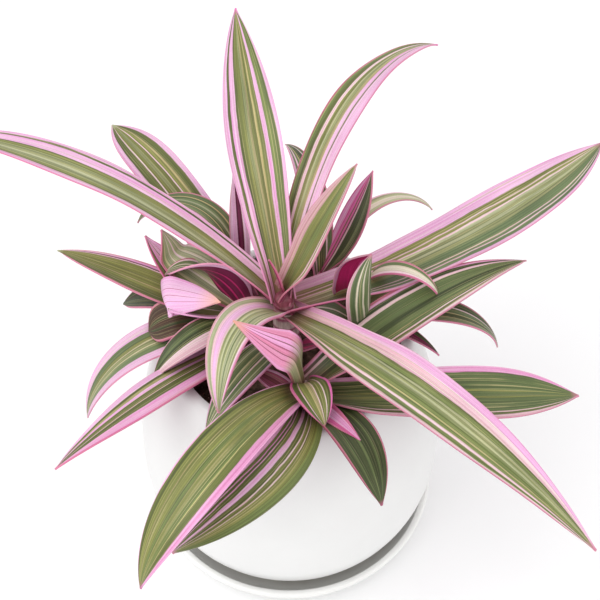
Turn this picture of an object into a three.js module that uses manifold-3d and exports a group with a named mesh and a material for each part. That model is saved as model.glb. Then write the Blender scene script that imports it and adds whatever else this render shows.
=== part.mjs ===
// A tricolour tradescantia in a white rounded pot on its saucer.
// Millimetres, +Z up, the viewer's side is -Y, and the saucer's underside is z = 0.

import * as THREE from 'three';
import { mergeVertices } from 'three/addons/utils/BufferGeometryUtils.js';
import Module from 'manifold-3d';

const wasm = await Module();
wasm.setup();
const { Manifold, Mesh } = wasm;

const potRadius = 79;          // at the pot's widest
const potWidestZ = 53;
const potRimRadius = 59;
const potRimZ = 138;
const potWall = 5;
const potFloor = 6;
const saucerRadius = 79;
const saucerHeight = 17;
const saucerWall = 4;
const saucerFloor = 5;
const saucerFoot = 66;         // radius of the flat underside
const soilTop = 122.5;
const soilMound = 3;           // the soil's middle stands higher than its edge
const stemDepth = 22;          // how far a stem goes into the soil
const fitGap = 0.3;            // between pieces that rest on or stand in each other
const bladeThickness = 0.9;
const bladeGap = 0.35;         // left where a blade is cut back from a stem or another blade
const bladeColumns = 4;
const roundSteps = 36;         // steps round the pot and the saucer
const stemSteps = 10;

const degree = Math.PI / 180;

function standard(name, color, roughness) {
  const material = new THREE.MeshStandardMaterial({ color, roughness, metalness: 0 });
  material.name = name;
  return material;
}

const ceramic = standard('pot_white', 0xeeeeec, 0.35);
const earth = standard('soil', 0x3b2a20, 0.95);
const stalk = standard('stem', 0xb4a58c, 0.6);
const green = standard('leaf_green', 0x66783f, 0.45);
const darkGreen = standard('leaf_dark', 0x43552f, 0.45);
const pink = standard('leaf_pink', 0xd98fb8, 0.45);
const purple = standard('leaf_purple', 0x7a3050, 0.5);

const plant = new THREE.Group();
plant.name = 'potted_tradescantia';

// Eases from 0 to 1 as the value does.
function smooth(value) {
  const t = Math.min(Math.max(value, 0), 1);
  return t * t * (3 - 2 * t);
}

// Solids

function toSolid(geometry) {
  const bare = geometry.clone();
  bare.deleteAttribute('normal');
  bare.deleteAttribute('uv');
  const merged = mergeVertices(bare, 1e-3);
  return new Manifold(new Mesh({
    numProp: 3,
    vertProperties: new Float32Array(merged.attributes.position.array),
    triVerts: new Uint32Array(merged.index.array),
  }));
}

function toGeometry(solid) {
  const { vertProperties, triVerts } = solid.getMesh();
  const geometry = new THREE.BufferGeometry();
  geometry.setAttribute('position', new THREE.BufferAttribute(new Float32Array(vertProperties), 3));
  geometry.setIndex(new THREE.BufferAttribute(new Uint32Array(triVerts), 1));
  geometry.computeVertexNormals();
  return geometry;
}

function addNode(name, solid, material) {
  const mesh = new THREE.Mesh(toGeometry(solid), material);
  mesh.name = name;
  plant.add(mesh);
}

function largestPiece(solid) {
  const pieces = solid.decompose();
  return pieces.reduce((best, piece) => (piece.volume() > best.volume() ? piece : best));
}

// The largest piece, without the slivers that cutting leaves along its edges.
function tidied(solid) {
  const plain = largestPiece(solid).simplify(0.15);
  return largestPiece(toSolid(toGeometry(plain)));
}

function turned(profile) {
  const points = profile.map(([radius, z]) => new THREE.Vector2(radius, z));
  const geometry = new THREE.LatheGeometry(points, roundSteps);
  geometry.rotateX(Math.PI / 2);
  return toSolid(geometry);
}

// Joins closed loops of points, one after another, into a skin with flat ends.
function skin(loops) {
  const count = loops[0].length;
  const last = (loops.length - 1) * count;
  const index = [];
  for (let start = 0; start < last; start += count) {
    for (let i = 0; i < count; i += 1) {
      const a = start + i;
      const b = start + ((i + 1) % count);
      index.push(a, b, a + count, b, b + count, a + count);
    }
  }
  for (let i = 0; i + 1 < count / 2; i += 1) {
    const [a, b, c, d] = [i, i + 1, count - 2 - i, count - 1 - i];
    index.push(a, c, b, a, d, c);
    index.push(last + a, last + b, last + c, last + a, last + c, last + d);
  }
  const geometry = new THREE.BufferGeometry().setFromPoints(loops.flat());
  geometry.setIndex(index);
  return toSolid(geometry);
}

// Saucer and pot

function potOuter(z) {
  if (z <= potWidestZ) return Math.sqrt(potRadius ** 2 - (potWidestZ - z) ** 2);
  const rise = (z - potWidestZ) / 126;
  return 2.6 + (potRadius - 2.6) * Math.sqrt(1 - rise ** 2);
}

function saucer() {
  return turned([
    [0, 0],
    [saucerFoot, 0],
    [saucerFoot + 5, 2.2],
    [saucerFoot + 9.5, 7],
    [saucerRadius - 0.8, 13],
    [saucerRadius, saucerHeight - 0.8],
    [saucerRadius - 0.8, saucerHeight],
    [saucerRadius - saucerWall + 0.8, saucerHeight],
    [saucerRadius - saucerWall, saucerHeight - 0.8],
    [saucerRadius - saucerWall - 1.2, 12],
    [saucerFoot + 4, 7.5],
    [saucerFoot, saucerFloor + 0.5],
    [saucerFoot - 3, saucerFloor],
    [0, saucerFloor],
  ]);
}

function pot() {
  const foot = saucerFloor + fitGap;
  const profile = [[0, foot], [potOuter(foot) - 2, foot]];
  for (const z of [6.5, 13, 21, 31, 42, 53, 66, 80, 94, 108, 120, 130, potRimZ - 1.2]) {
    profile.push([potOuter(z), z]);
  }
  profile.push([potRimRadius - 1, potRimZ], [potRimRadius - potWall + 1, potRimZ]);
  for (const z of [potRimZ - 1, 126, 106, 86, 66, 46, 30]) {
    profile.push([potOuter(z) - potWall, z]);
  }
  profile.push([potOuter(18) - potWall - 1, 18], [potOuter(12) - 12, foot + potFloor]);
  profile.push([0, foot + potFloor]);
  return turned(profile);
}

// Stems: foot and top on the stem's middle line, and the radius at the soil and at the top

const stems = {
  main: { foot: [0, 0, 118], top: [-2.5, 0, 168], radius: 7.6, topRadius: 4.2 },
  front: { foot: [5, -32, 118], top: [7, -34, 144], radius: 4.6, topRadius: 3.2 },
  left: { foot: [-17, 7, 118], top: [-22, 11, 145], radius: 4.6, topRadius: 3.2 },
  right: { foot: [31, 14, 118], top: [36, 19, 146], radius: 4.4, topRadius: 3.2 },
  back_right: { foot: [15, 36, 118], top: [17, 38, 140], radius: 4.4, topRadius: 3.2 },
  back_left: { foot: [-21, 30, 118], top: [-24, 33, 140], radius: 4.4, topRadius: 3.2 },
};

function stemPoint(stem, z) {
  const foot = new THREE.Vector3(...stem.foot);
  const top = new THREE.Vector3(...stem.top);
  return foot.lerp(top, (z - stem.foot[2]) / (stem.top[2] - stem.foot[2]));
}

// Old leaf sheaths leave a low ring every few millimetres up the stem.
function stemSolid(stem, grow) {
  const bottom = soilTop + soilMound - stemDepth;
  const top = stem.top[2];
  const loops = [];
  const rows = Math.round((top - bottom) / 4);
  for (let row = 0; row <= rows; row += 1) {
    const z = bottom + ((top - bottom) * row) / rows;
    const height = Math.max(0, (z - stem.foot[2]) / (top - stem.foot[2]));
    const ring = row % 2 === 0 ? 0.5 : 0;
    const radius = stem.radius + (stem.topRadius - stem.radius) * height + ring + grow;
    const middle = stemPoint(stem, z + (row === rows ? grow : 0) - (row === 0 ? grow : 0));
    const loop = [];
    for (let i = 0; i < stemSteps; i += 1) {
      const angle = (i / stemSteps) * 360 * degree;
      const out = new THREE.Vector3(Math.cos(angle), Math.sin(angle), 0);
      loop.push(middle.clone().addScaledVector(out, radius));
    }
    loops.push(loop);
  }
  return skin(loops);
}

function soil(grow, holes) {
  const floor = saucerFloor + fitGap + potFloor + fitGap;
  const profile = [[0, floor], [potOuter(12) - 12.6, floor]];
  profile.push([potOuter(18) - potWall - 1 - fitGap * 2, 18.3]);
  for (const z of [30, 46, 66, 86, 106]) {
    profile.push([potOuter(z) - potWall - fitGap, z]);
  }
  profile.push([potOuter(soilTop) - potWall - fitGap, soilTop + grow]);
  for (const r of [44, 33, 22, 11]) {
    profile.push([r, soilTop + soilMound * (1 - (r / 54) ** 2) + grow]);
  }
  profile.push([0, soilTop + soilMound + grow]);
  return turned(profile).subtract(Manifold.union(holes));
}

// Leaves: a blade is a bent strip. Its midrib starts on the stem and follows a heading
// (0 is +X, 90 is away from the viewer) that sweeps, and a rise that droops towards the tip.
// Across, the strip is an arc: wrapped round the stem at the foot, a shallow channel farther out.

function makeLeaf(name, stem, z, heading, sweep, rise, droop, length, width, extra = {}) {
  return {
    name, stem, z, heading, sweep, rise, droop, length, width,
    material: green, roll: 0, twist: 0, twistAt: 0, twistSpan: 1, bend: 1.4,
    fold: 0, foldAt: 0.6, foldSpan: 0.15, widest: 0.45, foot: 0.6, point: 1.9,
    cup: 14, wrap: 75, rows: Math.round(6 + length / 40), ...extra,
  };
}

function direction(leaf, s) {
  const folded = leaf.fold * smooth((s - leaf.foldAt) / leaf.foldSpan);
  const pitch = (leaf.rise - leaf.droop * s ** leaf.bend + folded) * degree;
  const azimuth = (leaf.heading + leaf.sweep * s) * degree;
  return [pitch, azimuth];
}

function bladeWidth(leaf, s) {
  const { widest, foot, point } = leaf;
  const shape = s <= widest
    ? foot + (1 - foot) * smooth(s / widest)
    : 1 - ((s - widest) / (1 - widest)) ** point;
  return Math.max(leaf.width * shape, 1.2);
}

// The blade's midrib point and its three directions at s, from 0 at the foot to 1 at the tip.
function midrib(leaf, rows) {
  const steps = 10;
  const spine = [];
  const point = stemPoint(stems[leaf.stem], leaf.z);
  for (let row = 0; row <= rows; row += 1) {
    const s = row / rows;
    const [pitch, azimuth] = direction(leaf, s);
    const ahead = new THREE.Vector3(
      Math.cos(pitch) * Math.cos(azimuth), Math.cos(pitch) * Math.sin(azimuth), Math.sin(pitch));
    const left = new THREE.Vector3(-Math.sin(azimuth), Math.cos(azimuth), 0);
    const turn = leaf.twist * smooth((s - leaf.twistAt) / leaf.twistSpan);
    left.applyAxisAngle(ahead, (leaf.roll + turn) * degree);
    const up = ahead.clone().cross(left);
    spine.push({ s, point: point.clone(), ahead, left, up });
    for (let i = 0; i < steps && row < rows; i += 1) {
      const [p, a] = direction(leaf, s + (i + 0.5) / (steps * rows));
      const stride = leaf.length / (steps * rows);
      point.x += stride * Math.cos(p) * Math.cos(a);
      point.y += stride * Math.cos(p) * Math.sin(a);
      point.z += stride * Math.sin(p);
    }
  }
  return spine;
}

function bladeSolid(leaf, grow) {
  const half = bladeThickness / 2 + grow;
  const loops = midrib(leaf, leaf.rows).map(({ s, point, ahead, left, up }) => {
    const width = bladeWidth(leaf, s);
    const bow = (leaf.cup + (leaf.wrap - leaf.cup) * (1 - smooth(s / 0.3))) * degree;
    const radius = width / 2 / bow;
    const reach = (s === 1 ? grow : 0) - (s === 0 ? grow : 0);
    const top = [];
    const bottom = [];
    for (let i = 0; i <= bladeColumns; i += 1) {
      const angle = bow * (1 + (2 * grow) / width) * (1 - (2 * i) / bladeColumns);
      const middle = point.clone()
        .addScaledVector(left, radius * Math.sin(angle))
        .addScaledVector(up, radius * (1 - Math.cos(angle)))
        .addScaledVector(ahead, reach);
      const normal = up.clone().multiplyScalar(Math.cos(angle))
        .addScaledVector(left, -Math.sin(angle));
      top.push(middle.clone().addScaledVector(normal, half));
      bottom.unshift(middle.clone().addScaledVector(normal, -half));
    }
    return [...top, ...bottom];
  });
  return skin(loops);
}

const leaves = [
  // name, stem, z, heading, sweep, rise, droop, length, width
  makeLeaf('left_long', 'main', 158, 137, 35, 18, 15, 193, 25, { roll: 13, widest: 0.7 }),
  makeLeaf('tall', 'main', 164, 107, -11, 49, 42, 148, 26, { roll: -11, widest: 0.5 }),
  makeLeaf('right_long', 'main', 157, 17, 28, 6, 3, 194, 34, {
    roll: -6, widest: 0.56, foot: 0.65, point: 2.6,
  }),
  makeLeaf('upper_right', 'main', 161, 79, -37, 51, 80, 177, 20, { roll: -15, widest: 0.57 }),
  makeLeaf('inner', 'main', 167, 20, 3, 68, 9, 79, 23, { roll: -6, widest: 0.42 }),
  makeLeaf('front_long', 'main', 154, 309, 12, 26, 60, 186, 28, { roll: -4, twist: 6, widest: 0.42 }),
  makeLeaf('front_curl', 'main', 151, 213, 62, 56, 125, 85, 24, { roll: 12, widest: 0.3 }),
  makeLeaf('low_left', 'main', 135, 239, -3, 36, 79, 74, 17),
  makeLeaf('front_big', 'front', 134, 242, -15, 49, 124, 145, 24, { roll: -10, widest: 0.54 }),
  makeLeaf('front_under', 'front', 128, 276, -84, 40, 98, 118, 30, { roll: -12, widest: 0.5 }),
  makeLeaf('front_right', 'front', 131.5, 349, 19, 16.2, 32, 131, 31, {
    roll: -12, twist: 14, widest: 0.56, point: 2.4,
  }),
  makeLeaf('right_dark', 'front', 138, 31, -2, 30, 50, 132, 26, { material: darkGreen, widest: 0.4 }),
  makeLeaf('front_dark', 'front', 125.5, 318, -33, 44, 92, 78, 23, {
    material: darkGreen, roll: -16, widest: 0.55,
  }),
  makeLeaf('front_sliver', 'front', 131, 300, 17, 44, 62, 46, 10, { material: pink }),
  makeLeaf('fold_front', 'front', 143, 286, 8, 66, 136, 36, 18),
  makeLeaf('left_brown', 'left', 129.5, 190, 3, 52, 92, 57, 24, {
    material: purple, wrap: 40, point: 7, widest: 0.65,
  }),
  makeLeaf('left_olive', 'left', 132, 167, -12, 24, 31, 105, 21, { roll: 6, widest: 0.5 }),
  makeLeaf('left_bud', 'left', 128, 164, -34, 34, 14, 72, 19, { material: pink }),
  makeLeaf('left_dark', 'left', 127, 162, 7, 38, 84, 74, 18, {
    material: darkGreen, wrap: 40, point: 5,
  }),
  makeLeaf('left_green', 'left', 135, 228, -17, 46, 106, 66, 17, { material: darkGreen }),
  makeLeaf('left_pink_edge', 'left', 126.6, 193, 24, 34, 115, 109, 27, {
    material: pink, roll: 14, wrap: 50,
  }),
  makeLeaf('left_low', 'left', 122.5, 232, -16, 28.3, 53, 124, 21, { roll: 10 }),
  makeLeaf('left_fold', 'left', 140, 197, -42, 24, 26, 74, 23, {
    material: pink, roll: 25, fold: 165, foldAt: 0.5, foldSpan: 0.16, rows: 19,
  }),
  makeLeaf('left_wall', 'left', 146, 150, 25, 64, 120, 50, 24, {
    material: purple, roll: 120, twist: -110,
  }),
  makeLeaf('left_arch', 'left', 144, 150, 0, 40, 70, 60, 22, {
    material: purple, roll: -20, fold: 90, foldAt: 0.65, foldSpan: 0.15, rows: 14,
  }),
  makeLeaf('fold_left', 'front', 146, 5, -20, 100, 0, 54, 19, {
    material: pink, roll: -20, fold: 46, foldAt: 0.3, foldSpan: 0.18, widest: 0.5, point: 1, rows: 17,
  }),
  makeLeaf('right_ribbon', 'right', 146, 335, 0, 84, 160, 60, 9, {
    material: pink, bend: 1.5, wrap: 40,
  }),
  makeLeaf('hood', 'right', 145, 280, -25, 12, -96, 52, 40, {
    material: purple, roll: -65, bend: 0.6, widest: 0.5, point: 4, cup: -118, wrap: -60, rows: 12,
  }),
  makeLeaf('right_small', 'right', 133, 30, -10, 42, 74, 38, 12),
  makeLeaf('right_hook', 'right', 128.5, 350, 10, 38, 116, 89, 15, { material: darkGreen }),
  makeLeaf('right_purple', 'right', 125, 322, 8, 50, 90, 55, 8, { material: purple }),
  makeLeaf('back_hook', 'back_right', 132, 91, 26, 74, 108, 90, 15),
  makeLeaf('back_bud', 'back_right', 139, 20, 8, 60, -20, 67, 20, { material: pink }),
  makeLeaf('back_pale', 'back_right', 127, 66, -57, 61, 120, 95, 9),
  makeLeaf('back_small', 'back_right', 132, 40, 8, 58, 20, 30, 10),
  makeLeaf('far_left', 'back_left', 126, 131, 1, 44, 48, 121, 25, { point: 5 }),
  makeLeaf('back_left_arch', 'back_left', 139, 98, 105, 63, 121, 84, 13),
  makeLeaf('back_left_sliver', 'back_left', 134, 94, 5, 67, 23, 62, 10),
  makeLeaf('young', 'main', 169, 200, 0, 80, 10, 26, 7, { material: purple }),
];

// Assembly: the holder, the stems, then each stem's leaves from the top down, every leaf cut
// back where it would run through the soil, a stem or a leaf placed before it.

addNode('saucer', saucer(), ceramic);
addNode('pot', pot(), ceramic);
addNode('soil', soil(0, Object.values(stems).map((stem) => stemSolid(stem, fitGap))), earth);

const taken = [soil(bladeGap, [Manifold.cube([1, 1, 1]).translate([0, 0, 500])])];
for (const [name, stem] of Object.entries(stems)) {
  addNode('stem_' + name, stemSolid(stem, 0), stalk);
  taken.push(stemSolid(stem, bladeGap));
}

for (const leaf of leaves) {
  const cut = bladeSolid(leaf, 0).subtract(Manifold.union(taken));
  addNode('leaf_' + leaf.name, tidied(cut), leaf.material);
  taken.push(bladeSolid(leaf, bladeGap));
}

export default plant;
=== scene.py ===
import math
import bpy
import numpy as np
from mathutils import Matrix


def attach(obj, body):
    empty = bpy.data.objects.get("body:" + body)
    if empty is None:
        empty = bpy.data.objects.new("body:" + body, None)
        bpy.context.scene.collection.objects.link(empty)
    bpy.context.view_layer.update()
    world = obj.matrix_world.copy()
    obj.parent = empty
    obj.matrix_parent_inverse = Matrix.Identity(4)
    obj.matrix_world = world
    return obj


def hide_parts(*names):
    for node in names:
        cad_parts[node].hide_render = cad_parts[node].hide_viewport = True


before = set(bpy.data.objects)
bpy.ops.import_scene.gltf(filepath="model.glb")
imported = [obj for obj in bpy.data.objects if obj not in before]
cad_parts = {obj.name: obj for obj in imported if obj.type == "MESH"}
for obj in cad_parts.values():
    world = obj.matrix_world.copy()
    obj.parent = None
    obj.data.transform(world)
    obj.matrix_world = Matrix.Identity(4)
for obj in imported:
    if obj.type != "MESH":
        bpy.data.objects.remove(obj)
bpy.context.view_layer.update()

mm = 0.001

tones = {  # sRGB, 0 to 255
    "pink": (244, 192, 232), "candy": (242, 172, 220), "hot": (228, 104, 176), "magenta": (208, 48, 124),
    "rose": (178, 88, 124), "wine": (142, 72, 88), "plum": (120, 34, 78), "salmon": (236, 150, 192),
    "rim": (214, 130, 158), "mauve": (218, 166, 182), "dusty": (234, 196, 210), "blush": (246, 212, 224),
    "peach": (236, 176, 140), "ivory": (234, 222, 208), "cream": (214, 206, 172), "straw": (200, 186, 136),
    "sand": (180, 168, 124), "olive": (132, 136, 76), "green": (118, 132, 76), "jade": (106, 124, 84),
    "moss": (100, 108, 58), "fern": (98, 114, 70), "dark": (68, 80, 46), "grey": (146, 152, 106),
    "mist": (184, 188, 152), "brown": (80, 56, 42), "husk": (226, 206, 200), "huskShade": (214, 192, 186),
}


def linear(tone):  # sRGB to the linear colour that shaders take
    values = [v / 255 for v in tones[tone]]
    return tuple(v / 12.92 if v <= 0.04045 else ((v + 0.055) / 1.055) ** 2.4 for v in values) + (1,)


def deselectAll():
    if bpy.context.object and bpy.context.object.mode != "OBJECT":
        bpy.ops.object.mode_set(mode="OBJECT")
    bpy.ops.object.select_all(action="DESELECT")


def applyAll(piece):
    bpy.context.view_layer.objects.active = piece
    for name in [m.name for m in piece.modifiers]:
        bpy.ops.object.modifier_apply(modifier=name)


def smooth(value):  # 0 to 1 with soft ends
    t = np.clip(value, 0, 1)
    return t * t * (3 - 2 * t)


# Camera, light and floor

camera = {"place": (5.4, -329.9, 556.9), "pitchDown": 50, "lens": 66}  # mm and degrees, fitted to the pot

lens = bpy.data.cameras.new("camera")
lens.lens = camera["lens"]
cameraObject = bpy.data.objects.new("camera", lens)
cameraObject.location = [v * mm for v in camera["place"]]
cameraObject.rotation_euler = (math.radians(90 - camera["pitchDown"]), 0, 0)
bpy.context.collection.objects.link(cameraObject)
bpy.context.scene.camera = cameraObject
bpy.context.scene.view_settings.view_transform = "Standard"  # a white ground stays white

studio = {  # metres and watts
    "sky": 0.97, "aim": (0, 0, 0.1),
    "key": 11, "keyPlace": (-0.9, -0.5, 1.5), "keySize": 1.5,
    "fill": 3, "fillPlace": (0.9, -0.9, 1.2), "fillSize": 1.2,
    "floorSize": 6, "floorZ": -0.0002, "floorColor": (0.93, 0.93, 0.935, 1), "floorRoughness": 0.7,
}


def addLamp(name, place, power, size):
    lamp = bpy.data.lights.new(name, "AREA")
    lamp.energy = power
    lamp.size = size
    lampObject = bpy.data.objects.new(name, lamp)
    lampObject.location = place
    aim = np.array(studio["aim"]) - np.array(place)
    tilt = math.acos(-aim[2] / np.linalg.norm(aim))
    lampObject.rotation_euler = (tilt, 0, math.atan2(aim[1], aim[0]) - math.pi / 2)
    bpy.context.collection.objects.link(lampObject)


addLamp("keyLamp", studio["keyPlace"], studio["key"], studio["keySize"])
addLamp("fillLamp", studio["fillPlace"], studio["fill"], studio["fillSize"])
sky = bpy.data.worlds.new("studioSky")
sky.use_nodes = True
sky.node_tree.nodes["Background"].inputs["Color"].default_value = (1, 1, 1, 1)
sky.node_tree.nodes["Background"].inputs["Strength"].default_value = studio["sky"]
bpy.context.scene.world = sky

deselectAll()
bpy.ops.mesh.primitive_plane_add(size=studio["floorSize"], location=(0, 0, studio["floorZ"]))
floor = bpy.context.object
floor.name = "floor"
floorPaint = bpy.data.materials.new("floorWhite")
floorPaint.use_nodes = True
floorPaint.node_tree.nodes["Principled BSDF"].inputs["Base Color"].default_value = studio["floorColor"]
floorPaint.node_tree.nodes["Principled BSDF"].inputs["Roughness"].default_value = studio["floorRoughness"]
floor.data.materials.append(floorPaint)
print("camera, light and floor are set")


# Paint helpers

def newPaint(name, specular, coat=0.0):
    material = bpy.data.materials.new(name)
    material.use_nodes = True
    shader = material.node_tree.nodes["Principled BSDF"]
    shader.inputs["Specular IOR Level"].default_value = specular
    shader.inputs["Coat Weight"].default_value = coat
    return material, material.node_tree, shader


def feed(tree, value, socket):  # an output is linked, a number or colour is set on the socket itself
    if isinstance(value, bpy.types.NodeSocket):
        tree.links.new(value, socket)
    else:
        socket.default_value = value


def mathNode(tree, operation, a, b=0, clamp=False):
    node = tree.nodes.new("ShaderNodeMath")
    node.operation = operation
    node.use_clamp = clamp
    feed(tree, a, node.inputs[0])
    feed(tree, b, node.inputs[1])
    return node.outputs[0]


def times(tree, a, b):
    return mathNode(tree, "MULTIPLY", a, b)


def fadeIn(tree, value, start, steep):  # 0 up to start, then rises to 1
    return mathNode(tree, "MULTIPLY", mathNode(tree, "SUBTRACT", value, start), steep, clamp=True)


def fadeOut(tree, value, end, steep):  # falls to 0 at end
    return mathNode(tree, "MULTIPLY", mathNode(tree, "SUBTRACT", end, value), steep, clamp=True)


def splitVector(tree, vector):
    node = tree.nodes.new("ShaderNodeSeparateXYZ")
    tree.links.new(vector, node.inputs[0])
    return node.outputs[0], node.outputs[1], node.outputs[2]


def joinVector(tree, *values):
    node = tree.nodes.new("ShaderNodeCombineXYZ")
    for value, socket in zip(values, node.inputs):
        feed(tree, value, socket)
    return node.outputs[0]


def objectPlace(tree):
    return tree.nodes.new("ShaderNodeTexCoord").outputs["Object"]


def noiseAt(tree, vector, scale, detail=2.0, roughness=0.5):
    node = tree.nodes.new("ShaderNodeTexNoise")
    node.inputs["Scale"].default_value = scale
    node.inputs["Detail"].default_value = detail
    node.inputs["Roughness"].default_value = roughness
    tree.links.new(vector, node.inputs["Vector"])
    return node.outputs["Fac"]


def ramp(tree, factor, stops):
    node = tree.nodes.new("ShaderNodeValToRGB")
    elements = node.color_ramp.elements
    while len(elements) > 1:
        elements.remove(elements[-1])
    elements[0].position, elements[0].color = stops[0]
    for position, color in stops[1:]:
        elements.new(position).color = color
    tree.links.new(factor, node.inputs["Fac"])
    return node.outputs["Color"]


def mixColor(tree, factor, a, b, blend="MIX"):
    node = tree.nodes.new("ShaderNodeMix")
    node.data_type = "RGBA"
    node.blend_type = blend
    feed(tree, factor, node.inputs["Factor"])
    feed(tree, a, node.inputs["A"])
    feed(tree, b, node.inputs["B"])
    return node.outputs["Result"]


def addBump(tree, shader, height, strength, depth):  # depth in mm
    node = tree.nodes.new("ShaderNodeBump")
    node.inputs["Strength"].default_value = strength
    node.inputs["Distance"].default_value = depth * mm
    tree.links.new(height, node.inputs["Height"])
    tree.links.new(node.outputs[0], shader.inputs["Normal"])


# Leaves: a blade is a bent strip whose stripes run its whole length

stems = {  # mm: foot and top on the stem's middle line, radius at the soil and at the top
    "main": {"foot": (0, 0, 118), "top": (-2.5, 0, 168), "radius": 7.6, "topRadius": 4.2},
    "front": {"foot": (5, -32, 118), "top": (7, -34, 144), "radius": 4.6, "topRadius": 3.2},
    "left": {"foot": (-17, 7, 118), "top": (-22, 11, 145), "radius": 4.6, "topRadius": 3.2},
    "right": {"foot": (31, 14, 118), "top": (36, 19, 146), "radius": 4.4, "topRadius": 3.2},
    "back_right": {"foot": (15, 36, 118), "top": (17, 38, 140), "radius": 4.4, "topRadius": 3.2},
    "back_left": {"foot": (-21, 30, 118), "top": (-24, 33, 140), "radius": 4.4, "topRadius": 3.2},
}

leafDefaults = {  # degrees, mm for the wave, tones for rim and tip, powers for bend and point, else shares
    "roll": 0, "twist": 0, "twistAt": 0, "twistSpan": 1,
    "bend": 1.4, "fold": 0, "foldAt": 0.6, "foldSpan": 0.15,
    "widest": 0.45, "foot": 0.6, "point": 1.9,
    "cup": 14, "wrap": 75, "wave": 0.35,
    "rim": "rim", "tip": "rim", "tipFrom": 0.965, "underFrom": -0.2, "lines": 0.6,
}

bladeMesh = {  # steps along the spine, columns and rows of the grid, thickness and ripple in mm
    "steps": 240, "columns": 20, "rows": 24, "rowsPerMm": 0.45, "rowsPerFold": 0.3,
    "thickness": 0.8, "leastWidth": 0.02, "wrapEnd": 0.3, "smoothAngle": 50,
    "ripple": 9, "rippleFrom": 0.25, "edgeShift": 2, "seedStep": 1.7,  # the two margins ripple out of step
}


def stemPoint(stem, z):
    foot, top = np.array(stem["foot"], float), np.array(stem["top"], float)
    return foot + (top - foot) * (z - foot[2]) / (top[2] - foot[2])


def bladeDirection(leaf, t):
    folded = leaf["fold"] * smooth((t - leaf["foldAt"]) / leaf["foldSpan"])
    pitch = np.radians(leaf["rise"] - leaf["droop"] * t ** leaf["bend"] + folded)
    azimuth = np.radians(leaf["heading"] + leaf["sweep"] * t)
    level = np.cos(pitch)
    return azimuth, np.stack([level * np.cos(azimuth), level * np.sin(azimuth), np.sin(pitch)], 1)


def bladePoints(leaf, u, s):  # u runs across from -1 to 1, s along from 0 at the stem to 1
    steps = bladeMesh["steps"]
    grid = np.linspace(0, 1, steps + 1)
    strides = bladeDirection(leaf, (grid[1:] + grid[:-1]) / 2)[1] * (leaf["length"] / steps)
    start = stemPoint(stems[leaf["stem"]], leaf["z"])
    spine = np.concatenate([[np.zeros(3)], np.cumsum(strides, 0)]) + start
    centre = np.stack([np.interp(s, grid, spine[:, i]) for i in range(3)], 1)
    azimuth, ahead = bladeDirection(leaf, s)
    side = np.stack([-np.sin(azimuth), np.cos(azimuth), 0 * azimuth], 1)
    up = np.cross(ahead, side)
    roll = np.radians(leaf["roll"] + leaf["twist"] * smooth((s - leaf["twistAt"]) / leaf["twistSpan"]))
    side, up = (side * np.cos(roll)[:, None] + up * np.sin(roll)[:, None],
                up * np.cos(roll)[:, None] - side * np.sin(roll)[:, None])
    growing = leaf["foot"] + (1 - leaf["foot"]) * smooth(s / leaf["widest"])
    tapering = 1 - np.clip((s - leaf["widest"]) / (1 - leaf["widest"]), 0, 1) ** leaf["point"]
    share = np.maximum(np.where(s <= leaf["widest"], growing, tapering), bladeMesh["leastWidth"])
    clasp = 1 - smooth(s / bladeMesh["wrapEnd"])  # 1 where the blade wraps its stem
    bow = np.radians(leaf["cup"] + (leaf["wrap"] - leaf["cup"]) * clasp)
    radius = leaf["width"] * share / 2 / bow
    across = radius * np.sin(bow * u)
    phase = s * leaf["length"] / bladeMesh["ripple"] + leaf["seed"] + bladeMesh["edgeShift"] * (u > 0)
    ripple = leaf["wave"] * np.abs(u) ** 3 * np.sin(phase) * smooth(s / bladeMesh["rippleFrom"])
    height = radius * (1 - np.cos(bow * u)) + ripple
    return (centre + side * across[:, None] + up * height[:, None]) * mm


underTones = {  # the upper side's tone and the one under it, plum under all others
    "pink": "hot", "hot": "magenta", "rose": "magenta", "blush": "hot", "cream": "hot", "peach": "peach",
}

leafNoise = {  # waves across 20 mm and along 100 mm of blade, shift, detail, roughness
    "drift": (2.5, 2.4, 0.3, 2.0, 0.5),
    "jag": (7, 16, 2.1, 2.0, 0.5),
    "streak": (24, 0.9, 4.0, 5.0, 0.7),
    "thread": (36, 0.35, 8.0, 3.0, 0.6),
    "fibre": (75, 1.6, 16.0, 3.0, 0.6),
    "blotch": (2.2, 3.5, 12.0, 3.0, 0.5),
}

leafLook = {
    "specular": 0.35, "coat": 0.08, "bump": 0.3, "bumpDepth": 0.3, "grain": 1500,
    "drift": 0.09, "jag": 0.016,  # how far a stripe's border wanders, in widths
    "soften": 0.006,  # half the blur between two stripes
    "streaks": 0.95, "underStreaks": 0.5, "blotches": 0.7, "weave": 0.55,  # strength of each layer
    "blotchShare": 0.8, "grainShare": 0.5,
    "bandStops": [(0.3, (0.2, 0.21, 0.19, 1)), (0.5, (0.48, 0.48, 0.46, 1)), (0.7, (0.8, 0.76, 0.68, 1))],
    "blotchStops": [(0.4, (0.74, 0.73, 0.7, 1)), (0.8, (1, 1, 1, 1))],
    "weaveStops": [(0.32, (0.66, 0.7, 0.6, 1)), (0.62, (1, 1, 1, 1))],
    "roughStops": [(0.3, (0.34, 0.34, 0.34, 1)), (0.7, (0.52, 0.52, 0.52, 1))],
    "threadSteep": 12, "paleFrom": 0.55, "paleThread": "straw", "patchFrom": 0.34, "patchSteep": 5,
    "deepTo": 0.43, "deepThread": (0.62, 0.5, 0.48, 1), "deep": 0.55, "underSteep": 6,
    "marginWidth": 0.6, "marginSteep": 40, "margin": 0.75, "tip": 0.85,  # the width in mm
    "shadeTo": 0.5, "shadeSteep": 2.2, "shade": (0.92, 0.82, 0.8, 1),  # darker in the half by the stem
    "footTo": 0.13, "footSteep": 7, "footTone": "wine", "foot": 0.7,
}


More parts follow.
